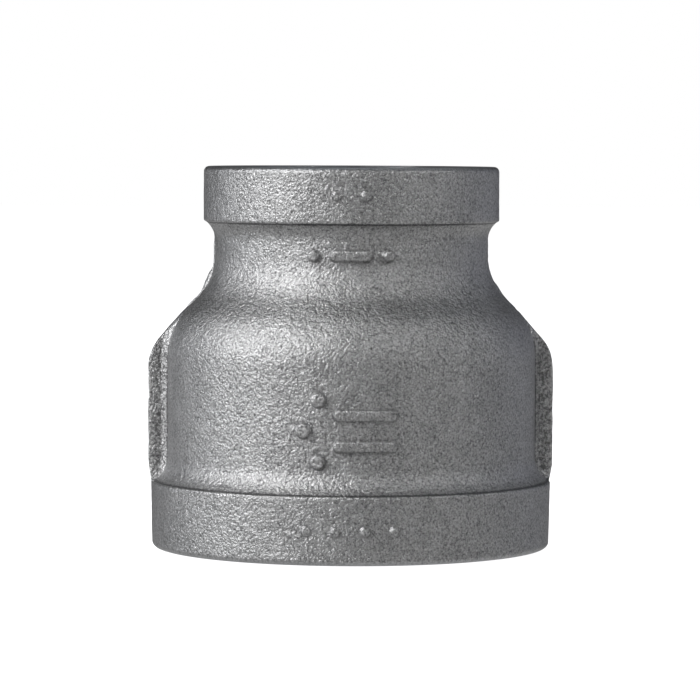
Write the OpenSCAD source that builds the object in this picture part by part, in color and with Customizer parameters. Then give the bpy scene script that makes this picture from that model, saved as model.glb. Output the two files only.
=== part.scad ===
// Bell reducing coupling for 1 1/2 x 1 taper pipe thread, cast in one piece.
// The machined face of the large mouth is at Z = 0 and the small mouth is on top.
// The parting plane of the casting is Y = 0, so the ribs and seams run along +X and -X.
// Each sub-part is a feature of the casting, and features meet face to face.
// All sizes are in millimetres.

/* [Overall] */
// Length between the two machined end faces
overall_length = 58.7; // [52:0.1:72]
// Thickness of the cast wall
wall = 3.9; // [3.4:0.1:4.8]

/* [Large end] */
// Pitch diameter of the large thread at the mouth
large_pitch_d = 46.287; // [44:0.001:56]
// Depth of the large thread from its end face
large_thread_depth = 17.8; // [13:0.1:18.5]
// Width of the large band along the axis
large_band_width = 10.3; // [8:0.1:12.5]
// How far the large band stands out from the barrel
large_band_rise = 2.4; // [1.6:0.1:3]
// How much smaller the radius of the large band is at the mouth
large_band_draft = 0.2; // [0:0.05:0.5]
// Radius of the hollow between the large band and the barrel
large_flare_r = 4.5; // [3:0.1:6]

/* [Small end] */
// Pitch diameter of the small thread at the mouth
small_pitch_d = 31.461; // [26:0.001:36]
// Depth of the small thread from its end face
small_thread_depth = 14.7; // [12:0.1:17.7]
// Distance from the small end face to where the neck starts to widen
neck_length = 13.7; // [13:0.1:17]
// Width of the small band along the axis
small_band_width = 8.5; // [6.8:0.1:10.2]
// How far the small band stands out from the neck
small_band_rise = 1.75; // [1.4:0.05:2.2]
// How much smaller the radius of the small band is at the mouth
small_band_draft = 0.05; // [0:0.05:0.3]
// Radius of the hollow between the small band and the neck
small_flare_r = 3.6; // [2.4:0.1:4]

/* [Shoulder] */
// Outside radius where the barrel turns in to the slope
shoulder_r = 10.5; // [8:0.1:12]
// Outside radius where the slope turns up to the neck
neck_blend_r = 9.3; // [7:0.1:11]
// Angle between the slope and the axis
shoulder_angle = 45; // [35:1:50]

/* [Threads] */
// Threads to the inch
threads_per_inch = 11.5; // [11.5, 14]
// Length over which the diameter of the thread closes by 1
taper_length = 16; // [12:1:20]
// Width of the flat left on the crest of the thread at the mouth
crest_flat = 0.17; // [0.1:0.01:0.3]
// Radial gap between the root of the thread and the cast chamber
chamber_relief = 0.57; // [0.45:0.01:0.8]
// How far the chamfer at each mouth opens past the root of the thread
chamfer_margin = 0.3; // [0.2:0.05:0.4]

/* [Ribs] */
// How far a rib stands out from the barrel
rib_rise = 2.8; // [2.5:0.1:3.4]
// Thickness of a rib at its root
rib_root_width = 3.8; // [3.2:0.1:4.8]
// Thickness of a rib at its outer edge
rib_nose_width = 3.2; // [2.6:0.1:3.2]
// Rounding of the outer edges of a rib
rib_edge_r = 0.9; // [0.5:0.1:1.2]
// Width of the bevel between a rib and the barrel
rib_bevel = 0.9; // [0.6:0.1:1.4]
// Rounding of the top corner of a rib
rib_top_r = 7; // [4:0.1:8]
// Angle of the straight part of a rib's top edge, from the axis
rib_top_angle = 41; // [35:1:45]
// Rounding of a rib's outer edge down to the large band
rib_foot_r = 20; // [10:1:40]
// How far a rib stands out from the slope of the shoulder
rib_shoulder_rise = 0.15; // [0.1:0.05:0.6]

/* [Parting seams] */
// Width of the seam that the mould leaves above each rib
seam_width = 0.7; // [0.4:0.1:1.2]
// How far the seams stand out
seam_rise = 0.15; // [0.1:0.05:0.4]
// Radius of the stub on the left seam
left_stub_r = 1.55; // [1:0.05:1.8]
// How far the stub on the left seam stands out
left_stub_rise = 0.45; // [0.3:0.05:0.9]
// Radius of the stub on the right seam
right_stub_r = 1.1; // [0.8:0.05:1.5]
// How far the stub on the right seam stands out
right_stub_rise = 0.25; // [0.2:0.05:0.6]

/* [Raised marks] */
// Turn of the marks around the axis, from the front towards the left rib
mark_turn = 3; // [-20:1:20]
// How far the bars and pips stand out
mark_rise = 0.7; // [0.3:0.1:1]
// Width of the bars
mark_bar_width = 1.9; // [1.2:0.1:2.2]
// Diameter of the pips
mark_pip_d = 2.4; // [1.6:0.1:2.6]

/* [Edges] */
// Rounding of the outer corner of each band at the mouth
mouth_corner_r = 0.8; // [0.4:0.1:1]
// Rounding of the inner edge of each band
band_edge_r = 0.35; // [0.2:0.05:0.5]
// Step from the inner edge of each band to its hollow
band_ledge = 0.32; // [0.2:0.02:0.5]

/* [Hidden] */
$fn = 96;

cast_colour = [0.64, 0.65, 0.66];
mark_colour = [0.70, 0.71, 0.72];
thread_colour = [0.50, 0.51, 0.53];
arc_steps = 8;
edge_steps = 4;
inch = 25.4;

// Thread form: the V is 60 degrees, and its height is 0.8 of the pitch.
pitch = inch / threads_per_inch;
thread_height = 0.8 * pitch;
flank_angle = 30;
radius_taper = 1 / taper_length / 2;

// The chambers clear the roots, and the wall goes around the chambers.
function root_r(pitch_d) = (pitch_d + thread_height) / 2;
function crest_r(pitch_d) = (pitch_d - thread_height) / 2;
barrel_r = root_r(large_pitch_d) + chamber_relief + wall;
neck_r = root_r(small_pitch_d) + chamber_relief + wall;
large_band_r = barrel_r + large_band_rise;
small_band_r = neck_r + small_band_rise;

// The two bends of the shoulder shrink together when the step between the radii is small.
step = barrel_r - neck_r;
bend_share = (shoulder_r + neck_blend_r) * (1 - cos(shoulder_angle));
bend_scale = min(1, 0.95 * step / bend_share);
outer_bend_r = bend_scale * shoulder_r;
inner_bend_r = bend_scale * neck_blend_r;
slope_run = step - bend_scale * bend_share;
shoulder_height = (outer_bend_r + inner_bend_r) * sin(shoulder_angle)
    + slope_run / tan(shoulder_angle);
neck_start = overall_length - neck_length;
shoulder_start = neck_start - shoulder_height;

// A point on the middle of the slope, and the slope's outward direction.
slope_out = [cos(shoulder_angle), sin(shoulder_angle)];
slope_up = [-sin(shoulder_angle), cos(shoulder_angle)];
slope_foot = [barrel_r - outer_bend_r, shoulder_start] + outer_bend_r * slope_out;

// A rib rises in a curve from the large band, runs straight up, rounds over to its top edge
// and follows the slope, a little proud of it.
rib_reach = barrel_r + rib_rise;
rib_foot_angle = acos(1 - max(0, rib_reach - large_band_r) / rib_foot_r);
rib_foot_z = large_band_width + rib_foot_r * sin(rib_foot_angle);
rib_slope_foot = slope_foot + rib_shoulder_rise * slope_out;
rib_corner_x = rib_reach - rib_top_r;
rib_corner_z = rib_slope_foot[1]
    - (rib_corner_x + rib_top_r * cos(rib_top_angle) - rib_slope_foot[0]) / tan(rib_top_angle)
    - rib_top_r * sin(rib_top_angle);
rib_end_run = slope_run / 4;
rib_end_r = rib_slope_foot[0] - rib_end_run;
rib_end_z = rib_slope_foot[1] + rib_end_run / tan(shoulder_angle);

// Raised marks: the barrel mark is centred on the free height of the barrel.
barrel_mark_z = (large_band_width + shoulder_start) / 2;
neck_mark_z = neck_start + mark_bar_width / 4;
barrel_bar_length = 9.6;
barrel_bar_gap = 4.6;
barrel_pip_gap = 4.4;
neck_bar_length = 6.4;
neck_pip_x = 5.6;
band_pip_gap = 4.4;
band_pip_d = 1.6;
band_mark_rise = 0.25;

function arc(centre, r, from, to, steps) = [
    for (i = [0 : steps])
        let (a = from + (to - from) * i / steps)
            centre + r * [cos(a), sin(a)]
];
function reversed(points) = [for (i = [len(points) - 1 : -1 : 0]) points[i]];

// The outline of the wall from the barrel to the neck, moved out by h.
function shoulder_curve(h) = concat(
    arc([barrel_r - outer_bend_r, shoulder_start], outer_bend_r + h, 0, shoulder_angle, arc_steps),
    arc([neck_r + inner_bend_r, neck_start], inner_bend_r - h, 180 + shoulder_angle, 180, arc_steps)
);

// The place and the outward direction of the neck's bend at a height below the neck.
function bend_angle(drop) = 180 + asin(drop / inner_bend_r);
function bend_point(drop, inset) = [neck_r + inner_bend_r, neck_start]
    + (inner_bend_r + inset) * [cos(bend_angle(drop)), sin(bend_angle(drop))];

// The solid inside the wall's outline, moved out by h. The chamber is this with h = -wall.
module outline(h = 0) {
    polygon(concat(
        [[0, 0], [barrel_r + h, 0]],
        shoulder_curve(h),
        [[neck_r + h, overall_length], [0, overall_length]]
    ));
}

module wall_section() {
    polygon(concat(
        [[barrel_r, 0]],
        shoulder_curve(0),
        [[neck_r, overall_length], [neck_r - wall, overall_length]],
        reversed(shoulder_curve(-wall)),
        [[barrel_r - wall, 0]]
    ));
}

// The sections of a band, its hollow and a thread stand on their own mouth, at height 0.
module band_section(inner_r, rise, width, draft) {
    outer_r = inner_r + rise;
    polygon(concat(
        [[inner_r, 0]],
        arc([outer_r - draft - mouth_corner_r, mouth_corner_r], mouth_corner_r, -90, 0, edge_steps),
        arc([outer_r - band_edge_r, width - band_edge_r], band_edge_r, 0, 90, edge_steps),
        [[inner_r, width]]
    ));
}

// The iron that fills the corner behind a band, with a hollow face.
module flare_section(inner_r, rise, width, flare_r) {
    flare_angle = acos(1 - (rise - band_ledge) / flare_r);
    flare_top = width + flare_r * sin(flare_angle);
    polygon(concat(
        [[inner_r, width]],
        arc([inner_r + flare_r, flare_top], flare_r, 180 + flare_angle, 180, arc_steps)
    ));
}

// The crests are on one cylinder, and the roots follow the taper.
function groove(pitch_d, z) =
    let (
        root = root_r(pitch_d) - z * radius_taper,
        crest = crest_r(pitch_d),
        half_width = (root - crest) * tan(flank_angle)
    )
    [[crest, z - half_width], [root, z], [crest, z + half_width]];

module thread_section(pitch_d, depth, outer_r) {
    crest = crest_r(pitch_d);
    mouth_r = root_r(pitch_d) + chamfer_margin;
    chamfer_depth = mouth_r - crest;
    first = chamfer_depth + crest_flat + thread_height * tan(flank_angle);
    turns = floor((depth - first) / pitch);
    polygon(concat(
        [[outer_r, 0], [mouth_r, 0], [crest, chamfer_depth]],
        [for (i = [0 : turns - 1]) each groove(pitch_d, first + i * pitch)],
        [[crest, depth], [outer_r, depth + outer_r - crest]]
    ));
}

module at_small_end() {
    translate([0, 0, overall_length])
        mirror([0, 0, 1])
            children();
}

module upside_down() {
    translate([0, overall_length])
        mirror([0, 1])
            children();
}

module large_band_section() {
    band_section(barrel_r, large_band_rise, large_band_width, large_band_draft);
}

module small_band_section() {
    band_section(neck_r, small_band_rise, small_band_width, small_band_draft);
}

module flare_sections() {
    flare_section(barrel_r, large_band_rise, large_band_width, large_flare_r);
    upside_down()
        flare_section(neck_r, small_band_rise, small_band_width, small_flare_r);
}

// Everything inside the outer skin, which ribs, seams and marks are cut to fit.
module solid_body() {
    rotate_extrude() {
        outline();
        flare_sections();
        large_band_section();
        upside_down() small_band_section();
    }
}

module thread_ring(pitch_d, depth, outer_r) {
    rotate_extrude()
        intersection() {
            thread_section(pitch_d, depth, outer_r);
            children();
        }
}

// The side of a rib, with its foot on the large band and its top along the slope.
module rib_side() {
    inside_r = neck_r;
    polygon(concat(
        [[inside_r, large_band_width]],
        arc([rib_reach - rib_foot_r, rib_foot_z], rib_foot_r, -rib_foot_angle, 0, edge_steps),
        arc([rib_corner_x, rib_corner_z], rib_top_r, 0, rib_top_angle, edge_steps),
        [rib_slope_foot, [rib_end_r, rib_end_z]],
        [[rib_end_r, rib_end_z - wall], [inside_r, rib_end_z - wall]]
    ));
}

// The plan of a rib, along +X, with a rounded nose and bevelled root corners.
module rib_plan() {
    nose_y = rib_nose_width / 2;
    root_y = rib_root_width / 2;
    edge_x = rib_reach - rib_edge_r;
    flank = concat(
        [[0, root_y + rib_bevel], [barrel_r, root_y + rib_bevel], [barrel_r + rib_bevel, root_y]],
        arc([edge_x, nose_y - rib_edge_r], rib_edge_r, 90, 0, edge_steps)
    );
    polygon(concat(flank, reversed([for (p = flank) [p[0], -p[1]]])));
}

module rib() {
    difference() {
        intersection() {
            rotate([90, 0, 0])
                linear_extrude(2 * large_band_r, center = true)
                    rib_side();
            linear_extrude(overall_length)
                rib_plan();
        }
        solid_body();
    }
}

// A seam runs from the end of a rib to the small band, with a stub on the neck's bend.
module seam(stub_r, stub_rise, stub_drop) {
    angle = seam_width / neck_r * 180 / PI;
    rotate([0, 0, -angle / 2])
        rotate_extrude(angle = angle)
            difference() {
                intersection() {
                    union() {
                        outline(seam_rise);
                        translate(bend_point(stub_drop, stub_r - stub_rise))
                            circle(r = stub_r);
                    }
                    translate([0, shoulder_start])
                        square([rib_end_r, overall_length - small_band_width - shoulder_start]);
                }
                outline();
                flare_sections();
            }
}

module bar(length) {
    square([length - mark_bar_width, mark_bar_width], center = true);
    for (side = [-1, 1])
        translate([side * (length - mark_bar_width) / 2, 0])
            circle(d = mark_bar_width);
}

// Marks are drawn on the XZ plane and stand out of the front, close to -Y, up to limit_r.
module raised_mark(limit_r) {
    difference() {
        intersection() {
            cylinder(r = limit_r, h = overall_length);
            rotate([90, 0, -mark_turn])
                linear_extrude(limit_r + mark_rise)
                    children();
        }
        solid_body();
    }
}

module body_shell() {
    color(cast_colour)
        rotate_extrude() {
            wall_section();
            flare_sections();
        }
}

module large_end_band() {
    color(cast_colour)
        rotate_extrude()
            large_band_section();
}

module small_end_band() {
    color(cast_colour)
        at_small_end()
            rotate_extrude()
                small_band_section();
}

module large_end_thread() {
    color(thread_colour)
        thread_ring(large_pitch_d, large_thread_depth, barrel_r)
            outline(-wall);
}

module small_end_thread() {
    color(thread_colour)
        at_small_end()
            thread_ring(small_pitch_d, small_thread_depth, neck_r)
                upside_down() outline(-wall);
}

module right_rib() {
    color(cast_colour)
        rib();
}

module left_rib() {
    color(cast_colour)
        mirror([1, 0, 0])
            rib();
}

module right_seam() {
    color(mark_colour)
        seam(right_stub_r, right_stub_rise, 0.55 * inner_bend_r);
}

module left_seam() {
    color(mark_colour)
        mirror([1, 0, 0])
            seam(left_stub_r, left_stub_rise, 0.42 * inner_bend_r);
}

module barrel_mark() {
    color(mark_colour)
        raised_mark(barrel_r + mark_rise)
            translate([0, barrel_mark_z]) {
                translate([barrel_pip_gap / 2, barrel_bar_gap / 2])
                    bar(barrel_bar_length);
                translate([barrel_pip_gap / 2, -barrel_bar_gap / 2])
                    bar(barrel_bar_length);
                for (row = [-1 : 1])
                    translate([-barrel_bar_length / 2 - (1 - abs(row)) * barrel_pip_gap / 2, row * barrel_bar_gap])
                        circle(d = mark_pip_d);
            }
}

module neck_mark() {
    color(mark_colour)
        raised_mark(neck_r + mark_rise)
            translate([0, neck_mark_z]) {
                bar(neck_bar_length);
                for (side = [-1, 1])
                    translate([side * neck_pip_x, 0])
                        circle(d = mark_bar_width);
            }
}

module large_band_mark() {
    color(mark_colour)
        raised_mark(large_band_r + band_mark_rise)
            for (i = [-1.5 : 1.5])
                translate([i * band_pip_gap, large_band_width / 2])
                    circle(d = band_pip_d);
}

module small_band_mark() {
    color(mark_colour)
        raised_mark(small_band_r + band_mark_rise)
            for (i = [-0.5, 0.5])
                translate([i * band_pip_gap, overall_length - small_band_width / 2])
                    circle(d = band_pip_d);
}

body_shell();
large_end_band();
small_end_band();
large_end_thread();
small_end_thread();
left_rib();
right_rib();
left_seam();
right_seam();
barrel_mark();
neck_mark();
large_band_mark();
small_band_mark();
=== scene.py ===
import math

import bpy
import numpy as np
from mathutils import Matrix, Vector


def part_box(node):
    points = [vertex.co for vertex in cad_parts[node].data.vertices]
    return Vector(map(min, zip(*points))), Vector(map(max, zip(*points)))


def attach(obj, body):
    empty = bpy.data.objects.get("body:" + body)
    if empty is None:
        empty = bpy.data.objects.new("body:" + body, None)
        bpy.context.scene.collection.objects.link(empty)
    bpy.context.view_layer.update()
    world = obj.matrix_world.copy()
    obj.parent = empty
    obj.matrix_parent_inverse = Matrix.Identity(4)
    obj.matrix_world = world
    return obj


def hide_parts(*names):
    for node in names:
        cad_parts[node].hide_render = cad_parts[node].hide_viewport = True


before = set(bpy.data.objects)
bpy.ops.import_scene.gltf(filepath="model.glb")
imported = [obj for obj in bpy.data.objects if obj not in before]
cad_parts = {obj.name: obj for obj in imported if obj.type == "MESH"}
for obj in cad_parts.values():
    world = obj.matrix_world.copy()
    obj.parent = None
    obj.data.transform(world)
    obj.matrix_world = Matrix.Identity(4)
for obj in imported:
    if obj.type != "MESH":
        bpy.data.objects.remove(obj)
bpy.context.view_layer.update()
mm = 0.001  # sizes are worked out in millimetres and become metres where a mesh is made
print("frame loaded")


# ---- node trees written as expressions ----


class Wire:  # an output socket, with arithmetic that adds Math nodes
    def __init__(self, tree, socket):
        self.tree, self.socket = tree, socket

    def other(self, name):  # another output of the same node
        return Wire(self.tree, self.socket.node.outputs[name])

    def __add__(self, value):
        return self.tree.maths("ADD", self, value)

    def __radd__(self, value):
        return self.tree.maths("ADD", value, self)

    def __sub__(self, value):
        return self.tree.maths("SUBTRACT", self, value)

    def __rsub__(self, value):
        return self.tree.maths("SUBTRACT", value, self)

    def __mul__(self, value):
        return self.tree.maths("MULTIPLY", self, value)

    def __rmul__(self, value):
        return self.tree.maths("MULTIPLY", value, self)

    def __truediv__(self, value):
        return self.tree.maths("DIVIDE", self, value)

    def __rtruediv__(self, value):
        return self.tree.maths("DIVIDE", value, self)


class Tree:
    def __init__(self, nodeTree):
        self.nodes, self.links = nodeTree.nodes, nodeTree.links

    def node(self, kind, settings=None, values=None, output=0):
        made = self.nodes.new(kind)
        for name, value in (settings or {}).items():
            if name == "stops":
                self.setStops(made.color_ramp, value)
            else:
                setattr(made, name, value)
        for name, value in (values or {}).items():
            if isinstance(value, Wire):
                self.links.new(value.socket, made.inputs[name])
            else:
                made.inputs[name].default_value = value
        return Wire(self, made.outputs[output])

    def setStops(self, ramp, stops):  # stops are (place, grey) pairs
        while len(ramp.elements) < len(stops):
            ramp.elements.new(1.0)
        for element, (place, grey) in zip(ramp.elements, stops):
            element.position = place
            element.color = (grey, grey, grey, 1.0)

    def maths(self, operation, *values):
        return self.node("ShaderNodeMath", {"operation": operation}, dict(enumerate(values)))

    def clamped(self, value, low=0.0, high=1.0):
        return self.maths("MINIMUM", self.maths("MAXIMUM", value, low), high)

    def point(self, x, y, z):
        return self.node("ShaderNodeCombineXYZ", {}, {0: x, 1: y, 2: z})

    def axes(self, vector):
        split = self.node("ShaderNodeSeparateXYZ", {}, {0: vector})
        return split, split.other("Y"), split.other("Z")


def geometryTree(name, inputs):
    group = bpy.data.node_groups.new(name, "GeometryNodeTree")
    group.interface.new_socket("Geometry", in_out="OUTPUT", socket_type="NodeSocketGeometry")
    group.interface.new_socket("Geometry", in_out="INPUT", socket_type="NodeSocketGeometry")
    kinds = {int: "NodeSocketInt", float: "NodeSocketFloat", Vector: "NodeSocketVector"}
    for label, value in inputs.items():
        socket = group.interface.new_socket(label, in_out="INPUT", socket_type=kinds[type(value)])
        socket.default_value = value
    group.interface.new_socket("Material", in_out="INPUT", socket_type="NodeSocketMaterial")
    tree = Tree(group)
    entry = tree.nodes.new("NodeGroupInput")
    tree.given = {socket.name: Wire(tree, socket) for socket in entry.outputs if socket.name}
    return group, tree


sharp = {"ring": 35, "skin": 38, "thread": 50, "pad": 60}  # degrees above which an edge is a corner


def endTree(tree, geometry, sharpAngle):  # smooth faces, sharp corners, real faces, material
    smooth = tree.node(
        "GeometryNodeSetShadeSmooth",
        {"domain": "FACE"},
        {"Geometry": geometry, "Shade Smooth": True},
    )
    turn = tree.node("GeometryNodeInputMeshEdgeAngle")
    corner = tree.maths("GREATER_THAN", turn, math.radians(sharpAngle))
    shaded = tree.node(
        "GeometryNodeSetShadeSmooth",
        {"domain": "EDGE"},
        {"Geometry": smooth, "Selection": corner, "Shade Smooth": False},
    )
    real = tree.node("GeometryNodeRealizeInstances", {}, {"Geometry": shaded})
    painted = tree.node(
        "GeometryNodeSetMaterial", {}, {"Geometry": real, "Material": tree.given["Material"]}
    )
    last = tree.nodes.new("NodeGroupOutput")
    tree.links.new(painted.socket, last.inputs["Geometry"])


def grownPiece(name, startMesh, steps, material):  # runs the trees and keeps what they make
    holder = bpy.data.objects.new(name + "Start", startMesh)
    bpy.context.scene.collection.objects.link(holder)
    for group, values in steps:
        modifier = holder.modifiers.new(group.name, "NODES")
        modifier.node_group = group
        values = {**values, "Material": material}
        for item in group.interface.items_tree:
            if item.in_out == "INPUT" and item.name in values:
                modifier[item.identifier] = values[item.name]
    bpy.context.view_layer.update()
    evaluated = holder.evaluated_get(bpy.context.evaluated_depsgraph_get())
    mesh = bpy.data.meshes.new_from_object(evaluated)
    bpy.data.objects.remove(holder)
    mesh.name = name
    piece = bpy.data.objects.new(name, mesh)
    bpy.context.scene.collection.objects.link(piece)
    return piece


def keepPiece(piece, slot, *nodes):  # what every finished piece needs
    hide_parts(*nodes)
    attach(piece, "root")
    print(piece.name, "has", len(piece.data.polygons), "faces")


# ---- outlines ----


arcSteps = 24


def arcPoints(centre, radius, start, end):
    turns = np.radians(np.linspace(start, end, arcSteps + 1))
    return [(centre[0] + radius * math.cos(a), centre[1] + radius * math.sin(a)) for a in turns]


def spreadLegs(legs):  # legs are (points, spacing, cast skin at the start, cast skin at the end)
    points, skins = [], []
    for leg, spacing, skinStart, skinEnd in legs:
        leg = np.array(leg, float)
        run = np.concatenate([[0], np.cumsum(np.hypot(*np.diff(leg, axis=0).T))])
        count = max(1, round(run[-1] / spacing))
        places = np.linspace(0, run[-1], count + 1)[:-1]
        points += list(zip(np.interp(places, run, leg[:, 0]), np.interp(places, run, leg[:, 1])))
        skins += list(skinStart + (skinEnd - skinStart) * places / run[-1])
    points.append(tuple(legs[-1][0][-1]))
    skins.append(legs[-1][3])
    return points, skins


def chainMesh(name, points, skins):  # an outline of (radius, height) points on the XZ plane
    mesh = bpy.data.meshes.new(name)
    mesh.from_pydata([(r * mm, 0, z * mm) for r, z in points], [], [])
    mark = mesh.attributes.new("castSkin", "FLOAT", "POINT")
    mark.data.foreach_set("value", skins)
    return mesh


def boxMm(node):
    return [[c / mm for c in corner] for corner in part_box(node)]


shell = {
    "wall": 3.9,
    "largeBandRise": 2.4,
    "smallBandRise": 1.75,
    "ledge": 0.32,
    "largeFlareR": 4.5,
    "smallFlareR": 3.6,
    "neckLength": 13.7,
    "shoulderR": 10.5,
    "neckBlendR": 9.3,
    "shoulderAngle": 45,
    "columns": 480,
    "skinSpacing": 0.34,
    "chamberSpacing": 1.1,
    "hiddenSpacing": 3.0,
    "faceSpacing": 0.9,
}
length = boxMm("body_shell")[1][2]
largeBandR = boxMm("large_end_band")[1][0]
largeBandTop = boxMm("large_end_band")[1][2]
smallBandR = boxMm("small_end_band")[1][0]
smallBandFoot = boxMm("small_end_band")[0][2]
barrelR = largeBandR - shell["largeBandRise"]
neckR = smallBandR - shell["smallBandRise"]
neckStart = length - shell["neckLength"]


def shoulderPath(offset):  # from the barrel to the neck, moved out by offset
    angle = shell["shoulderAngle"]
    a, bend, blend = math.radians(angle), shell["shoulderR"], shell["neckBlendR"]
    slopeRun = barrelR - neckR - (bend + blend) * (1 - math.cos(a))
    start = neckStart - (bend + blend) * math.sin(a) - slopeRun / math.tan(a)
    return arcPoints((barrelR - bend, start), bend + offset, 0, angle) + arcPoints(
        (neckR + blend, neckStart), blend - offset, 180 + angle, 180
    )


def flarePath(innerR, rise, width, radius):  # from the band's inner edge to the plain wall
    angle = math.degrees(math.acos(1 - (rise - shell["ledge"]) / radius))
    top = width + radius * math.sin(math.radians(angle))
    return arcPoints((innerR + radius, top), radius, 180 + angle, 180)


def skinPath():  # the cast outside of the shell between the bands, from the bottom to the top
    large = flarePath(barrelR, shell["largeBandRise"], largeBandTop, shell["largeFlareR"])
    small = flarePath(neckR, shell["smallBandRise"], length - smallBandFoot, shell["smallFlareR"])
    return large + shoulderPath(0) + [(r, length - z) for r, z in reversed(small)]


skin = np.array(skinPath())


def skinRadius(z):
    return float(np.interp(z, skin[:, 1], skin[:, 0]))


ribs = {
    "rootWidth": 3.8,
    "noseWidth": 3.2,
    "bevel": 0.9,
    "edgeR": 0.7,
    "topR": 7,
    "topAngle": 41,
    "footR": 20,
    "slopeRise": 0.15,
    "rootSkirt": 0.3,
    "topSink": 0.35,
    "topSinkReach": 1.2,
    "rowSpacing": 0.22,
    "backDepth": 1.2,
    # where the painted crease shade runs beside the rib feet
    "creaseMiddle": 21.5,
    "creaseReach": 14,
    # place, width and strength of the painted shade strip along a rib's side
    "coreMiddle": 22,
    "coreReach": 12.5,
    "coreRadius": 29.8,
    "coreWidth": 1.15,
    "coreShade": 0.34,
    "blotch": 2.0,
    "patchSize": 0.6,
}


# ---- surfaces ----

castLook = {
    # ends of the skin tone; the dark end sits in the low spots, partly sand in the pits and partly
    # painted shade
    "light": (0.66, 0.66, 0.664, 1),
    "dark": (0.17, 0.17, 0.172, 1),
    "beadSize": 0.40,
    "beadHeight": 0.07,
    "beadSteep": 1.1,
    "beadSmooth": 0.35,
    "grainSize": 0.24,
    "grainHeight": 0.12,
    "lumpSize": 0.9,
    "lumpHeight": 0.17,
    "patchSize": 3.5,
    "blotch": 0.4,
    "grainTone": 2.6,
    "beadTone": 0.7,
    "middleTone": 0.64,
    # width and strength of the painted shade in the creases
    "creaseWidth": 0.22,
    "creaseShadeStrength": 0.75,
    "roughness": 0.31,
    "patchRoughness": 0.12,
    "darkRoughness": 0.15,
    "metallic": 0.95,
}
cutLook = {
    "colour": (0.50, 0.51, 0.53, 1),
    "stained": (0.34, 0.34, 0.35, 1),
    "stainSize": 5.0,
    "roughness": 0.30,
    "linePitch": 0.24,
    "lineHeight": 0.012,
    "lineWander": 0.2,
    "wanderSize": 6.0,
    "tearSize": 0.3,
    "tearHeight": 0.03,
    "threadRoughness": 0.26,
    "tearRoughness": 0.14,
}


def noise(tree, where, size, detail=2.0, roughness=0.5):  # size is in millimetres
    return tree.node(
        "ShaderNodeTexNoise",
        {},
        {"Vector": where, "Scale": 1 / (size * mm), "Detail": detail, "Roughness": roughness},
    )


def newMaterial(name):
    material = bpy.data.materials.new(name)
    material.use_nodes = True
    material.node_tree.nodes.clear()
    return material, Tree(material.node_tree)


def finishMaterial(tree, colour, roughness, metallic, height):  # the height is in millimetres
    bump = tree.node("ShaderNodeBump", {}, {"Height": height, "Distance": mm, "Strength": 1.0})
    shader = tree.node(
        "ShaderNodeBsdfPrincipled",
        {},
        {"Base Color": colour, "Roughness": roughness, "Metallic": metallic, "Normal": bump},
    )
    end = tree.nodes.new("ShaderNodeOutputMaterial")
    tree.links.new(shader.socket, end.inputs["Surface"])


def turningLines(tree, where):  # rings left by the tool, around the pipe axis
    x, y, z = tree.axes(where)
    radius = tree.maths("SQRT", x * x + y * y)
    wander = noise(tree, where, cutLook["wanderSize"]) * (cutLook["lineWander"] * mm)
    run = radius + z + wander
    return tree.maths("SINE", run * (2 * math.pi / (cutLook["linePitch"] * mm))) * 0.5 + 0.5


def nearby(tree, value, middle, width):  # one at the middle, falling to nothing at the width
    return tree.clamped(1 - tree.maths("ABSOLUTE", value - middle * mm) / (width * mm))


def creaseShade(tree, where):  # painted shade: darker colour in the corners beside the ribs and along the band edges, where shadow falls
    x, y, z = tree.axes(where)
    radius = tree.maths("SQRT", x * x + y * y)
    width = castLook["creaseWidth"]
    footY = ribs["rootWidth"] / 2 + ribs["bevel"]
    ribFoot = nearby(tree, tree.maths("ABSOLUTE", y), footY, width * 1.4)
    ribFoot = ribFoot * nearby(tree, radius, barrelR, 0.5)
    ribFoot = ribFoot * nearby(tree, z, ribs["creaseMiddle"], ribs["creaseReach"])
    below = tree.maths("LESS_THAN", radius, (largeBandR - shell["ledge"] + 0.1) * mm)
    large = nearby(tree, z, largeBandTop, width * 1.3) * below
    inside = tree.maths("LESS_THAN", radius, (smallBandR - shell["ledge"] + 0.1) * mm)
    small = nearby(tree, z, smallBandFoot, width * 1.3) * inside
    return tree.clamped((ribFoot * 2 + large * 1.6 + small * 1.6) * castLook["creaseShadeStrength"])


def ribCoreShade(tree, where):  # painted shade: a darker strip along the middle of a rib's flat side
    x, y, z = tree.axes(where)
    strip = nearby(tree, tree.maths("ABSOLUTE", x), ribs["coreRadius"], ribs["coreWidth"])
    along = nearby(tree, z, ribs["coreMiddle"], ribs["coreReach"])
    return tree.clamped(strip * 1.4) * tree.clamped(along * 4)


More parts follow.
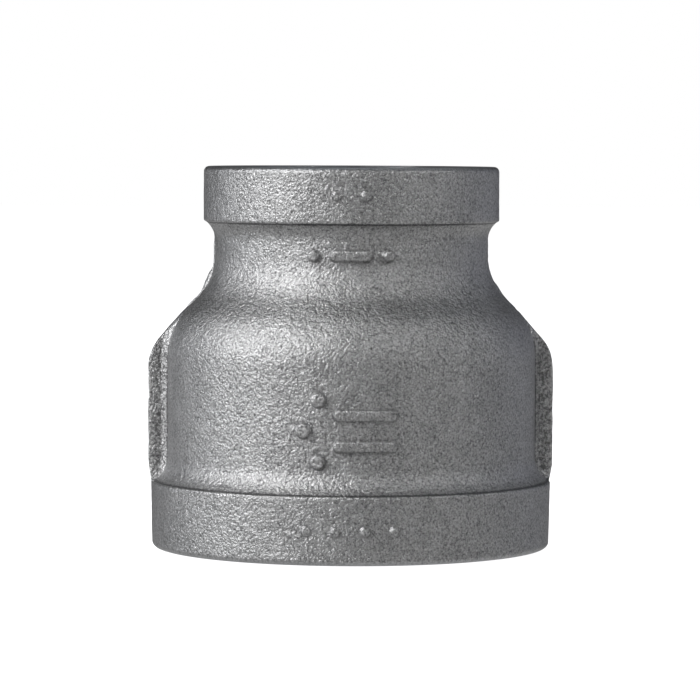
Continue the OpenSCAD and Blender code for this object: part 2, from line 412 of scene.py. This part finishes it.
def castIron(name, blotch, patchSize, coreShade):
    material, tree = newMaterial(name)
    where = tree.node("ShaderNodeTexCoord", {}, {}, "Object")
    cast = tree.node("ShaderNodeAttribute", {"attribute_name": "castSkin"}, {}, "Fac")
    grain = noise(tree, where, castLook["grainSize"], 3.0, 0.68)
    cell = tree.node(
        "ShaderNodeTexVoronoi",
        {"feature": "SMOOTH_F1"},
        {
            "Vector": where,
            "Scale": 1 / (castLook["beadSize"] * mm),
            "Smoothness": castLook["beadSmooth"],
        },
        "Distance",
    )
    bead = 1 - cell * castLook["beadSteep"]
    lump = noise(tree, where, castLook["lumpSize"], 1.0)
    patch = noise(tree, where, patchSize, 3.0)
    lines = turningLines(tree, where)
    sandHeight = grain * castLook["grainHeight"] + lump * castLook["lumpHeight"]
    sandHeight = sandHeight + bead * castLook["beadHeight"]
    height = sandHeight * cast + lines * (1 - cast) * cutLook["lineHeight"]
    # colour is darker where the grain and beads are low: partly sand left in the pits, partly
    # painted shade in the pits
    tone = (grain - 0.5) * castLook["grainTone"] + (bead - 0.5) * castLook["beadTone"]
    tone = tone + (patch - 0.5) * blotch + castLook["middleTone"]
    # painted shade: the crease shadows and the dark strip on the rib sides are taken off the colour
    tone = tree.clamped(tone - creaseShade(tree, where) - ribCoreShade(tree, where) * coreShade)
    rough = tree.node(
        "ShaderNodeMix",
        {"data_type": "RGBA"},
        {"Factor": tone, 6: castLook["dark"], 7: castLook["light"]},
        2,
    )
    colour = tree.node(
        "ShaderNodeMix", {"data_type": "RGBA"}, {"Factor": cast, 6: cutLook["colour"], 7: rough}, 2
    )
    skinRough = castLook["roughness"] + (patch - 0.5) * castLook["patchRoughness"]
    skinRough = skinRough + (1 - tone) * castLook["darkRoughness"]
    roughness = skinRough * cast + cutLook["roughness"] * (1 - cast)
    finishMaterial(tree, colour, roughness, castLook["metallic"], height)
    return material


def cutIron():
    material, tree = newMaterial("cutIronThread")
    where = tree.node("ShaderNodeTexCoord", {}, {}, "Object")
    lines = turningLines(tree, where)
    tear = noise(tree, where, cutLook["tearSize"], 3.0, 0.6)
    stain = noise(tree, where, cutLook["stainSize"], 3.0)
    shade = tree.node(
        "ShaderNodeMix",
        {"data_type": "RGBA"},
        {
            "Factor": tree.clamped(stain * 1.6 - 0.3),
            6: cutLook["stained"],
            7: cutLook["colour"],
        },
        2,
    )
    roughness = cutLook["threadRoughness"] + tear * cutLook["tearRoughness"]
    height = lines * cutLook["lineHeight"] + tear * cutLook["tearHeight"]
    finishMaterial(tree, shade, roughness, 1.0, height)
    return material


skinMetal = castIron("castIronSkin", castLook["blotch"], castLook["patchSize"], 0.0)
ribMetal = castIron("castIronRib", ribs["blotch"], ribs["patchSize"], ribs["coreShade"])
threadMetal = cutIron()
print("materials made")


# ---- the trees that shape the pieces ----


def namedValue(tree, name):
    return tree.node("GeometryNodeInputNamedAttribute", {"data_type": "FLOAT"}, {"Name": name})


def turned(tree, profile, columns):  # the outline carried once around the axis
    rows = tree.node(
        "GeometryNodeAttributeDomainSize",
        {"component": "MESH"},
        {"Geometry": profile},
        "Point Count",
    )
    flat = tree.node(
        "GeometryNodeMeshGrid",
        {},
        {"Size X": 1.0, "Size Y": 1.0, "Vertices X": columns + 1, "Vertices Y": rows},
    )
    position = tree.node("GeometryNodeInputPosition")
    x, y, _ = tree.axes(position)
    row = tree.maths("ROUND", (y + 0.5) * (rows - 1))
    spot = tree.node(
        "GeometryNodeSampleIndex",
        {"data_type": "FLOAT_VECTOR"},
        {"Geometry": profile, "Value": position, "Index": row},
    )
    mark = namedValue(tree, "castSkin")
    skinHere = tree.node(
        "GeometryNodeSampleIndex",
        {"data_type": "FLOAT"},
        {"Geometry": profile, "Value": mark, "Index": row},
    )
    kept = tree.node(
        "GeometryNodeStoreNamedAttribute",
        {"data_type": "FLOAT", "domain": "POINT"},
        {"Geometry": flat, "Name": "castSkin", "Value": skinHere},
    )
    radius, _, height = tree.axes(spot)
    angle = (x + 0.5) * (2 * math.pi)
    place = tree.point(
        radius * tree.maths("COSINE", angle), radius * tree.maths("SINE", angle), height
    )
    return tree.node("GeometryNodeSetPosition", {}, {"Geometry": kept, "Position": place})


def welded(tree, geometry):
    values = {"Geometry": geometry, "Distance": 0.002 * mm}
    return tree.node("GeometryNodeMergeByDistance", {}, values)


def turnedRingTree():
    group, tree = geometryTree("turnedRing", {"Columns": 480})
    ring = turned(tree, tree.given["Geometry"], tree.given["Columns"])
    endTree(tree, welded(tree, ring), sharp["ring"])
    return group


def sandSkinTree():  # what the sand of the mould leaves: a fine grain on slow waves
    group, tree = geometryTree(
        "sandSkin",
        {
            "Grain size": 1.0,
            "Grain height": 0.03,
            "Wave size": 8.0,
            "Wave height": 0.1,
            "Seed": 1.0,
        },
    )
    given = tree.given
    position = tree.node("GeometryNodeInputPosition")
    mark = namedValue(tree, "castSkin")

    def swell(size, height, detail):
        level = tree.node(
            "ShaderNodeTexNoise",
            {"noise_dimensions": "4D"},
            {"Vector": position, "W": given["Seed"], "Scale": 1000 / size, "Detail": detail},
        )
        return (level - 0.5) * height * (2 * mm)

    rise = swell(given["Grain size"], given["Grain height"], 2.0)
    rise = rise + swell(given["Wave size"], given["Wave height"], 1.0)
    offset = tree.node(
        "ShaderNodeVectorMath",
        {"operation": "SCALE"},
        {0: tree.node("GeometryNodeInputNormal"), "Scale": rise * mark},
    )
    moved = tree.node(
        "GeometryNodeSetPosition", {}, {"Geometry": given["Geometry"], "Offset": offset}
    )
    endTree(tree, moved, sharp["skin"])
    return group


def taperThreadTree():  # a helical thread inside a turned wall, both standing on the mouth
    group, tree = geometryTree(
        "taperThread",
        {
            "Columns": 480,
            "Turns": 10,
            "Rows": 12,
            "Pitch": 2.2,
            "Crest radius": 22.0,
            "Thread height": 1.77,
            "Taper": 0.03,
            "Flat": 0.08,
            "Mouth radius": 24.0,
            "Depth": 17.0,
            "End": 19.0,
        },
    )
    given = tree.given
    rows = given["Turns"] * given["Rows"] + 1
    flat = tree.node(
        "GeometryNodeMeshGrid",
        {},
        {"Size X": 1.0, "Size Y": 1.0, "Vertices X": given["Columns"] + 1, "Vertices Y": rows},
    )
    x, y, _ = tree.axes(tree.node("GeometryNodeInputPosition"))
    turn = x + 0.5
    row = tree.maths("ROUND", (y + 0.5) * (rows - 1))
    deep = tree.clamped((row / given["Rows"] - 1 + turn) * given["Pitch"], 0.0, given["End"])
    phase = tree.maths("FRACT", deep / given["Pitch"] - turn + 4)
    peak = 1 - tree.maths("ABSOLUTE", phase * 2 - 1)
    vee = tree.clamped((peak - given["Flat"]) / (1 - 2 * given["Flat"]))
    crest = given["Crest radius"] - deep * given["Taper"]
    lastCrest = given["Crest radius"] - given["Depth"] * given["Taper"]
    cone = given["Mouth radius"] - deep
    radius = tree.maths("MAXIMUM", crest + vee * given["Thread height"], cone)
    radius = tree.maths("MAXIMUM", radius, lastCrest + deep - given["Depth"]) * mm
    angle = turn * (2 * math.pi)
    place = tree.point(
        radius * tree.maths("COSINE", angle), radius * tree.maths("SINE", angle), deep * mm
    )
    cut = tree.node("GeometryNodeSetPosition", {}, {"Geometry": flat, "Position": place})
    cut = tree.node("GeometryNodeFlipFaces", {}, {"Mesh": cut})
    wall = turned(tree, given["Geometry"], given["Columns"])
    both = tree.nodes.new("GeometryNodeJoinGeometry")
    for part in (cut, wall):
        tree.links.new(part.socket, both.inputs[0])
    endTree(tree, welded(tree, Wire(tree, both.outputs[0])), sharp["thread"])
    return group


def onSkinTree():  # drops a flat shape onto a skin along one direction and raises it by "lift"
    group, tree = geometryTree("onSkin", {"Direction": Vector((0, 1, 0))})
    group.interface.new_socket("Skin", in_out="INPUT", socket_type="NodeSocketObject")
    tree.given["Skin"] = Wire(
        tree, next(n for n in tree.nodes if n.type == "GROUP_INPUT").outputs["Skin"]
    )
    target = tree.node(
        "GeometryNodeObjectInfo",
        {"transform_space": "ORIGINAL"},
        {"Object": tree.given["Skin"]},
        "Geometry",
    )
    hit = tree.node(
        "GeometryNodeRaycast",
        {"data_type": "FLOAT"},
        {
            "Target Geometry": target,
            "Source Position": tree.node("GeometryNodeInputPosition"),
            "Ray Direction": tree.given["Direction"],
            "Ray Length": 1.0,
        },
        "Hit Position",
    )
    lift = namedValue(tree, "lift")
    out = tree.node(
        "ShaderNodeVectorMath", {"operation": "SCALE"}, {0: hit.other("Hit Normal"), "Scale": lift}
    )
    place = tree.node("ShaderNodeVectorMath", {"operation": "ADD"}, {0: hit, 1: out})
    moved = tree.node(
        "GeometryNodeSetPosition", {}, {"Geometry": tree.given["Geometry"], "Position": place}
    )
    endTree(tree, moved, sharp["pad"])
    return group


turnedRing = turnedRingTree()
sandSkin = sandSkinTree()
taperThread = taperThreadTree()
onSkin = onSkinTree()
sand = {  # millimetres
    "Grain size": 0.9,
    "Grain height": 0.035,
    "Wave size": 7.0,
    "Wave height": 0.07,
    "Seed": 3.0,
}
print("node trees built")


# ---- the casting ----


def bodyShell():
    fine, hidden = shell["skinSpacing"], shell["hiddenSpacing"]
    wall = shell["wall"]
    inner = [(r, z) for r, z in reversed(shoulderPath(-wall))]
    outline = spreadLegs(
        [
            ([(barrelR - wall, 0), (barrelR, 0)], shell["faceSpacing"], 0, 0),
            ([(barrelR, 0), (barrelR, largeBandTop)], hidden, 0, 0),
            ([(barrelR, largeBandTop), tuple(skin[0])], shell["faceSpacing"], 0, 1),
            (skin, fine, 1, 1),
            ([tuple(skin[-1]), (neckR, smallBandFoot)], shell["faceSpacing"], 1, 0),
            ([(neckR, smallBandFoot), (neckR, length)], hidden, 0, 0),
            ([(neckR, length), (neckR - wall, length)], shell["faceSpacing"], 0, 0),
            ([(neckR - wall, length), inner[0]], shell["chamberSpacing"], 0, 1),
            (inner, shell["chamberSpacing"], 1, 1),
            ([inner[-1], (barrelR - wall, 0)], shell["chamberSpacing"], 1, 0),
        ]
    )
    return grownPiece(
        "body_shell",
        chainMesh("shellOutline", *outline),
        [(turnedRing, {"Columns": shell["columns"]}), (sandSkin, sand)],
        skinMetal,
    )


bands = {
    "largeDraft": 0.2,
    "smallDraft": 0.05,
    "mouthCornerR": 0.8,
    "edgeR": 0.35,
    "cornerSpacing": 0.16,
    "skinSpacing": 0.34,
}


def bandOutline(innerR, outerR, width, draft):  # stands on its own mouth
    corner, edge = bands["mouthCornerR"], bands["edgeR"]
    mouth = arcPoints((outerR - draft - corner, corner), corner, -90, 0)
    inside = arcPoints((outerR - edge, width - edge), edge, 0, 90)
    return [
        ([(innerR, 0), mouth[0]], shell["faceSpacing"], 0, 0),
        (mouth, bands["cornerSpacing"], 0, 1),
        ([mouth[-1], inside[0]], bands["skinSpacing"], 1, 1),
        (inside, bands["cornerSpacing"], 1, 1),
        ([inside[-1], (innerR, width)], shell["faceSpacing"], 1, 0),
        ([(innerR, width), (innerR, 0)], shell["hiddenSpacing"], 0, 0),
    ]


def bandPiece(name, innerR, outerR, width, draft, upsideDown):
    points, skins = spreadLegs(bandOutline(innerR, outerR, width, draft))
    if upsideDown:
        points = [(r, length - z) for r, z in reversed(points)]
        skins = skins[::-1]
    return grownPiece(
        name,
        chainMesh(name + "Outline", points, skins),
        [(turnedRing, {"Columns": shell["columns"]}), (sandSkin, sand)],
        skinMetal,
    )


threads = {
    "perInch": 11.5,
    "taper": 1 / 32,  # on the radius
    "largeCrestR": 22.26,
    "smallCrestR": 14.847,
    "largeDepth": 17.8,
    "smallDepth": 14.7,
    "mouthMargin": 0.3,
    "crestFlat": 0.08,
    "rowsPerTurn": 12,
}


def threadPiece(name, crestR, depth, chamberPath):  # chamberPath runs from the mouth inwards
    pitch = 25.4 / threads["perInch"]
    height = 0.8 * pitch
    mouthR = crestR + height + threads["mouthMargin"]
    lastCrest = crestR - depth * threads["taper"]
    path = np.array(chamberPath)
    deep = np.linspace(depth, path[-1][1], 400)
    wallR = np.interp(deep, path[:, 1], path[:, 0])
    end = float(deep[np.argmax(lastCrest + deep - depth >= wallR)])
    wallDepths = [z for r, z in chamberPath if 0 < z < end - 0.2]
    wall = [(mouthR, 0), (path[0][0], 0)]
    wall += [(float(np.interp(z, path[:, 1], path[:, 0])), z) for z in wallDepths]
    wall.append((lastCrest + end - depth, end))
    return grownPiece(
        name,
        chainMesh(name + "Wall", wall, [0.0] * len(wall)),
        [
            (
                taperThread,
                {
                    "Columns": shell["columns"],
                    "Turns": math.ceil(end / pitch) + 1,
                    "Rows": threads["rowsPerTurn"],
                    "Pitch": pitch,
                    "Crest radius": crestR,
                    "Thread height": height,
                    "Taper": threads["taper"],
                    "Flat": threads["crestFlat"],
                    "Mouth radius": mouthR,
                    "Depth": depth,
                    "End": end,
                },
            )
        ],
        threadMetal,
    )


def chamberFrom(smallEnd):  # the chamber wall seen from one mouth, as (radius, depth)
    wall = shell["wall"]
    path = [(barrelR - wall, 0.0)] + shoulderPath(-wall) + [(neckR - wall, length)]
    if smallEnd:
        path = [(r, length - z) for r, z in reversed(path)]
    return path


shellPiece = bodyShell()
keepPiece(shellPiece, "cast_skin", "body_shell")
largeBand = bandPiece(
    "large_end_band", barrelR, largeBandR, largeBandTop, bands["largeDraft"], False
)
keepPiece(largeBand, "cast_skin", "large_end_band")
smallBand = bandPiece(
    "small_end_band", neckR, smallBandR, length - smallBandFoot, bands["smallDraft"], True
)
keepPiece(smallBand, "cast_skin", "small_end_band")

largeThread = threadPiece(
    "large_end_thread", threads["largeCrestR"], threads["largeDepth"], chamberFrom(False)
)
keepPiece(largeThread, "cut_thread", "large_end_thread")
smallThread = threadPiece(
    "small_end_thread", threads["smallCrestR"], threads["smallDepth"], chamberFrom(True)
)
turnOver = Matrix.Translation((0, 0, length * mm)) @ Matrix.Rotation(math.pi, 4, "X")
smallThread.data.transform(turnOver)
keepPiece(smallThread, "cut_thread", "small_end_thread")


# ---- ribs and parting seams ----

seams = {
    "width": 0.7,
    "rise": 0.15,
    "stubWiden": 0.5,
    "topFade": 1.5,
    "footFade": 0.5,
    "overlap": 0.9,
    "skirt": 0.2,
    "rowSpacing": 0.14,
    "backDepth": 0.8,
}
ribLumps = {"Grain size": 0.9, "Grain height": 0.05, "Wave size": 4.5, "Wave height": 0.2}
seamRagged = {"Grain size": 0.6, "Grain height": 0.08, "Wave size": 2.0, "Wave height": 0.1}
stubs = {
    "left": {"height": 41.2, "reach": 1.9, "rise": 0.4},
    "right": {"height": 39.9, "reach": 1.1, "rise": 0.15},
}
ribReach = boxMm("right_rib")[1][0]
seamTop = boxMm("left_seam")[1][2]


def stackedRings(name, rings):  # closed rings of equal count, one above the other, capped
    count = len(rings[0])
    points = [p for ring in rings for p in ring]
    faces = []
    for k in range(len(rings) - 1):
        for i in range(count):
            j = (i + 1) % count
            faces.append((k * count + i, k * count + j, (k + 1) * count + j, (k + 1) * count + i))
    faces.append(tuple(reversed(range(count))))
    faces.append(tuple(range((len(rings) - 1) * count, len(rings) * count)))
    mesh = bpy.data.meshes.new(name)
    mesh.from_pydata([Vector(p) * mm for p in points], [], faces)
    return mesh


def softLeast(a, b, softness):  # the smaller of two, with the corner between them rounded
    mix = max(0.0, min(1.0, 0.5 + 0.5 * (b - a) / softness))
    return b * (1 - mix) + a * mix - softness * mix * (1 - mix)


def ribOutlineX(z):  # how far out the middle of a rib reaches at a height
    angle, topR, footR = math.radians(ribs["topAngle"]), ribs["topR"], ribs["footR"]
    slope = math.radians(shell["shoulderAngle"])
    startX, startZ = Vector(shoulderPath(0)[arcSteps]) + ribs["slopeRise"] * Vector(
        (math.cos(slope), math.sin(slope))
    )
    cornerX = ribReach - topR
    cornerZ = startZ - (cornerX + topR * math.cos(angle) - startX) / math.tan(angle)
    cornerZ -= topR * math.sin(angle)
    footZ = largeBandTop + math.sqrt(2 * footR * (ribReach - largeBandR))
    if z <= footZ:
        return ribReach - footR + math.sqrt(footR**2 - (footZ - z) ** 2)
    if z <= cornerZ:
        return ribReach
    if z <= cornerZ + topR * math.sin(angle):
        return cornerX + math.sqrt(topR**2 - (z - cornerZ) ** 2)
    if z <= startZ:
        return startX + (startZ - z) * math.tan(angle)
    return startX - (z - startZ) * math.tan(slope)


def ribSection(z, lowest):  # a closed ring round the rib at a height, in plan
    root, nose, bevel = ribs["rootWidth"] / 2, ribs["noseWidth"] / 2, ribs["bevel"]
    bodyR = skinRadius(z)
    full, skirt = ribReach - barrelR, ribs["rootSkirt"]
    flank = [(root + bevel + skirt, -skirt), (root + bevel, 0.0), (root, bevel)]
    flank += [(nose, full), (0.0, 9 * full)]
    across = [root + bevel + skirt, root + bevel + 0.4 * skirt]
    across += list(np.linspace(root + bevel, root, 7))
    across += list(np.linspace(root, nose, 13))[1:]
    across += list(nose - np.array([0.04, 0.1, 0.18, 0.28, 0.42, 0.6, 0.8, 1.0, 1.2, 1.4]))
    across = [y for y in across if y > 0.05] + [0.0]
    across = across + [-y for y in reversed(across[:-1])]
    top = ribOutlineX(z) - bodyR
    widths = [w for w, _ in reversed(flank)]
    heights = [h for _, h in reversed(flank)]
    ring = []
    for y in across:
        side = float(np.interp(abs(y), widths, heights))
        lift = softLeast(side, max(top, 0.02), ribs["edgeR"] * 0.6) - lowest
        ring.append((math.sqrt(bodyR**2 - y**2) + lift, y, z))
    back = bodyR - ribs["backDepth"]
    ring += [(back, -across[0], z), (back, across[0], z)]
    return ring


def ribPiece(name, side):
    low, high = largeBandTop - 0.05, boxMm("right_rib")[1][2]
    heights = np.linspace(low, high, round((high - low) / ribs["rowSpacing"]) + 1)
    rings = []
    for z in heights:
        sink = ribs["topSink"] * max(0.0, 1 - (high - z) / ribs["topSinkReach"]) ** 2
        rings.append(ribSection(float(z), sink))
    mesh = stackedRings(name + "Rings", rings)
    mark = mesh.attributes.new("castSkin", "FLOAT", "POINT")
    count = len(rings[0])
    ringSkin = [0.0] + [1.0] * (count - 4) + [0.0, 0.0, 0.0]
    mark.data.foreach_set("value", ringSkin * len(rings))
    if side < 0:
        mesh.transform(Matrix.Rotation(math.pi, 4, "Z"))
    return grownPiece(name, mesh, [(sandSkin, {**ribLumps, "Seed": 5.0 + side})], ribMetal)


def seamPiece(name, side):
    stub = stubs["left" if side < 0 else "right"]
    low = boxMm("right_rib")[1][2] - seams["overlap"]
    heights = np.linspace(low, seamTop, round((seamTop - low) / seams["rowSpacing"]) + 1)
    half = seams["width"] / 2
    rings = []
    for z in heights:
        r = skinRadius(float(z))
        slope = (skinRadius(float(z) + 0.05) - skinRadius(float(z) - 0.05)) / 0.1
        out = np.array([1.0, -slope]) / math.hypot(1.0, slope)
        near = max(0.0, 1 - ((z - stub["height"]) / stub["reach"]) ** 2)
        rise = seams["rise"] + stub["rise"] * near
        wide = half + seams["stubWiden"] * near
        fade = min(1.0, (seamTop - z) / seams["topFade"], (z - low) / seams["footFade"])
        ring = []
        for k in range(-6, 7):
            y = wide * 1.2 * k / 6
            body = math.sqrt(max(r * r - y * y, 0)) - r
            lift = rise * fade * (1 - (k / 5.0) ** 2) if abs(k) < 6 else -seams["skirt"]
            ring.append((r + body + out[0] * lift, -y, float(z) + out[1] * lift))
        back = seams["backDepth"]
        ring += [(r - out[0] * back, -wide, float(z) - out[1] * back)]
        ring += [(r - out[0] * back, wide, float(z) - out[1] * back)]
        rings.append(ring)
    mesh = stackedRings(name + "Rings", rings)
    mark = mesh.attributes.new("castSkin", "FLOAT", "POINT")
    ringSkin = [0.0] + [1.0] * 11 + [0.0, 0.0, 0.0]
    mark.data.foreach_set("value", ringSkin * len(rings))
    if side < 0:
        mesh.transform(Matrix.Rotation(math.pi, 4, "Z"))
    return grownPiece(name, mesh, [(sandSkin, {**sand, **seamRagged})], skinMetal)


for name, side in (("right_rib", 1), ("left_rib", -1)):
    keepPiece(ribPiece(name, side), "cast_skin", name)
for name, side in (("right_seam", 1), ("left_seam", -1)):
    keepPiece(seamPiece(name, side), "cast_skin", name)


# ---- raised marks ----

marks = {
    "turn": 3.0,
    "rise": 0.85,
    "bandRise": 0.42,
    "barWidth": 1.9,
    "pipWidth": 2.4,
    "bandPipWidth": 1.6,
    "bandPipPitch": 4.4,
    "barLength": 9.6,
    "barSide": 2.2,
    "barHeight": 2.3,
    "pipHeight": 4.6,
    "nearPip": -4.8,
    "farPip": -7.0,
    "neckBarLength": 6.4,
    "neckPipSide": 5.6,
    "endSteps": 14,
}


def padRings(x, z, length, width, rise):  # a round-ended pad, as rings from its skirt to its top
    flat = (length - width) / 2
    levels = [(0.24, -0.30), (0.12, -0.03), (0.02, 0.10), (-0.06, 0.40), (-0.14, 0.72)]
    levels += [(-0.24, 0.90), (-0.38, 0.98), (-0.56, 1.0)]
    rings, lifts = [], []
    for grow, share in levels:
        radius = max(width / 2 + grow, 0.06)
        ring = []
        for side in (1, -1):
            for k in range(marks["endSteps"] + 1):
                a = math.pi * (k / marks["endSteps"] - 0.5) + (0 if side > 0 else math.pi)
                ring.append((x + side * flat + radius * math.cos(a), z + radius * math.sin(a)))
        rings.append(ring)
        lifts.append(share * rise if share > 0 else share)
    return rings, lifts


def markPiece(name, pads, skinPiece, rise):
    turn = math.radians(marks["turn"])
    away = 60.0  # where the flat shape waits, clear of the casting
    points, faces, lifts = [], [], []
    for x, z, length, width in pads:
        rings, levels = padRings(x, z, length, width, rise)
        count, start = len(rings[0]), len(points)
        for ring, level in zip(rings, levels):
            points += [(px, -away, pz) for px, pz in ring]
            lifts += [level * mm] * count
        for k in range(len(rings) - 1):
            for i in range(count):
                j = (i + 1) % count
                a, b = start + k * count, start + (k + 1) * count
                faces.append((a + i, a + j, b + j, b + i))
        faces.append(tuple(start + i for i in reversed(range(count))))
        faces.append(tuple(start + (len(rings) - 1) * count + i for i in range(count)))
    mesh = bpy.data.meshes.new(name + "Flat")
    mesh.from_pydata([Vector(p) * mm for p in points], [], faces)
    mesh.attributes.new("lift", "FLOAT", "POINT").data.foreach_set("value", lifts)
    mesh.attributes.new("castSkin", "FLOAT", "POINT").data.foreach_set("value", [1.0] * len(points))
    mesh.transform(Matrix.Rotation(-turn, 4, "Z"))
    towards = Vector((math.sin(turn), math.cos(turn), 0))
    worn = {**sand, "Grain size": 0.8, "Grain height": 0.05, "Wave height": 0.0}
    steps = [(onSkin, {"Direction": towards, "Skin": skinPiece}), (sandSkin, worn)]
    return grownPiece(name, mesh, steps, skinMetal)


def middleHeight(node):
    low, high = boxMm(node)
    return (low[2] + high[2]) / 2


def pipRow(node, places):
    width = marks["bandPipWidth"]
    return [(marks["bandPipPitch"] * k, middleHeight(node), width, width) for k in places]


def barrelPads():
    z, bar, pip = middleHeight("barrel_mark"), marks["barWidth"], marks["pipWidth"]
    side, up, near = marks["barSide"], marks["barHeight"], marks["nearPip"]
    return [
        (side, z + up, marks["barLength"], bar),
        (side, z - up, marks["barLength"], bar),
        (near, z + marks["pipHeight"], pip, pip),
        (marks["farPip"], z, pip, pip),
        (near, z - marks["pipHeight"], pip, pip),
    ]


def neckPads():
    z, bar, side = middleHeight("neck_mark"), marks["barWidth"], marks["neckPipSide"]
    return [(0, z, marks["neckBarLength"], bar), (-side, z, bar, bar), (side, z, bar, bar)]


largeRow = pipRow("large_band_mark", (-1.5, -0.5, 0.5, 1.5))
smallRow = pipRow("small_band_mark", (-0.5, 0.5))
markPads = {  # pads as (side, height, length, width), the skin they lie on, and their rise
    "barrel_mark": (barrelPads(), shellPiece, marks["rise"]),
    "neck_mark": (neckPads(), shellPiece, marks["rise"]),
    "large_band_mark": (largeRow, largeBand, marks["bandRise"]),
    "small_band_mark": (smallRow, smallBand, marks["bandRise"]),
}
for name, (pads, skinPiece, rise) in markPads.items():
    keepPiece(markPiece(name, pads, skinPiece, rise), "cast_skin", name)


# ---- studio ----

studio = {
    "turn": 3.0,  # degrees from the front towards the left rib
    "distance": 588,
    "eyeHeight": 62.7,
    "aimHeight": 30.3,
    "aimSide": -0.15,
    "lens": 195.6,
    "roll": 0.23,
    "lampDistance": 1.2,
    "floorSize": 6.0,
    "floorGap": 0.2,
    "floorGlow": 0.50,
    "roomGlow": 0.03,
}


def newCamera():
    turn = math.radians(studio["turn"])
    right = Vector((math.cos(turn), -math.sin(turn), 0))
    eye = Vector((-math.sin(turn), -math.cos(turn), 0)) * studio["distance"]
    eye = (eye + right * studio["aimSide"] + Vector((0, 0, studio["eyeHeight"]))) * mm
    aim = (right * studio["aimSide"] + Vector((0, 0, studio["aimHeight"]))) * mm
    data = bpy.data.cameras.new("studioCamera")
    data.lens = studio["lens"]
    data.sensor_width = 36
    data.clip_start = 0.01
    data.clip_end = 50
    camera = bpy.data.objects.new("studioCamera", data)
    bpy.context.scene.collection.objects.link(camera)
    facing = (aim - eye).to_track_quat("-Z", "Y").to_matrix().to_4x4()
    roll = Matrix.Rotation(math.radians(studio["roll"]), 4, "Z")
    camera.matrix_world = Matrix.Translation(eye) @ facing @ roll
    bpy.context.scene.camera = camera


# turn from the front towards the right, height angle, width, height, brightness and colour
lamps = {
    "keyLeft": (-62, 32, 0.80, 1.10, 4.7, (1.0, 1.0, 1.0)),
    "fillRight": (54, 32, 0.20, 0.46, 10.5, (1.0, 1.0, 1.0)),
    "cardLeft": (-105, 12, 1.40, 0.72, 0.72, (0.93, 0.95, 1.0)),
    "cardRight": (122, 10, 1.10, 0.72, 0.36, (0.84, 0.87, 1.0)),
    "topBack": (160, 62, 1.20, 1.00, 0.35, (0.88, 0.93, 1.0)),
}


def newLamp(name, azimuth, elevation, width, height, brightness, colour):
    data = bpy.data.lights.new(name, "AREA")
    data.shape = "RECTANGLE"
    data.size, data.size_y = width, height
    data.energy = math.pi * width * height * brightness
    data.color = colour
    a, e = math.radians(azimuth), math.radians(elevation)
    spot = Vector((math.sin(a) * math.cos(e), -math.cos(a) * math.cos(e), math.sin(e)))
    middle = Vector((0, 0, length / 2 * mm))
    spot = spot * studio["lampDistance"] + middle
    lamp = bpy.data.objects.new(name, data)
    bpy.context.scene.collection.objects.link(lamp)
    facing = (middle - spot).to_track_quat("-Z", "Y").to_matrix().to_4x4()
    lamp.matrix_world = Matrix.Translation(spot) @ facing


def newFloor():  # just under the part, and clear when looked at from below
    half = studio["floorSize"] / 2
    low = -studio["floorGap"] * mm
    mesh = bpy.data.meshes.new("paleFloor")
    corners = [(-half, -half, low), (half, -half, low), (half, half, low), (-half, half, low)]
    mesh.from_pydata(corners, [], [(0, 1, 2, 3)])
    floor = bpy.data.objects.new("paleFloor", mesh)
    bpy.context.scene.collection.objects.link(floor)
    material, tree = newMaterial("paleFloor")
    shader = tree.node(
        "ShaderNodeBsdfPrincipled",
        {},
        {
            "Base Color": (0.9, 0.9, 0.9, 1),
            "Roughness": 0.9,
            "Emission Color": (1, 1, 1, 1),
            "Emission Strength": 1.0,
        },
    )
    below = tree.node("ShaderNodeNewGeometry", {}, {}, "Backfacing")
    clear = tree.node("ShaderNodeBsdfTransparent")
    both = tree.node("ShaderNodeMixShader", {}, {0: below, 1: shader, 2: clear})
    end = tree.nodes.new("ShaderNodeOutputMaterial")
    tree.links.new(both.socket, end.inputs["Surface"])
    mesh.materials.append(material)
    floor.visible_glossy = False
    floor.visible_diffuse = False


def newWorld():  # a dark room over a bright floor
    world = bpy.data.worlds.new("studioWorld")
    world.use_nodes = True
    world.node_tree.nodes.clear()
    tree = Tree(world.node_tree)
    seen = tree.node("ShaderNodeLightPath", {}, {}, "Is Camera Ray")
    _, _, up = tree.axes(tree.node("ShaderNodeTexCoord", {}, {}, "Generated"))
    bright, dim = studio["floorGlow"], studio["roomGlow"]
    stops = [(0.0, bright), (0.30, bright), (0.46, 0.12), (0.5, dim)]  # from below to level
    glow = tree.node("ShaderNodeValToRGB", {"stops": stops}, {"Fac": up * 0.5 + 0.5})
    room = tree.node("ShaderNodeBackground", {}, {"Color": glow, "Strength": 1.0})
    paper = tree.node("ShaderNodeBackground", {}, {"Color": (1, 1, 1, 1), "Strength": 1.0})
    both = tree.node("ShaderNodeMixShader", {}, {0: seen, 1: room, 2: paper})
    end = tree.nodes.new("ShaderNodeOutputWorld")
    tree.links.new(both.socket, end.inputs["Surface"])
    bpy.context.scene.world = world


newCamera()
for name, settings in lamps.items():
    newLamp(name, *settings)
newFloor()
newWorld()
bpy.context.scene.view_settings.view_transform = "Standard"
print("studio ready")
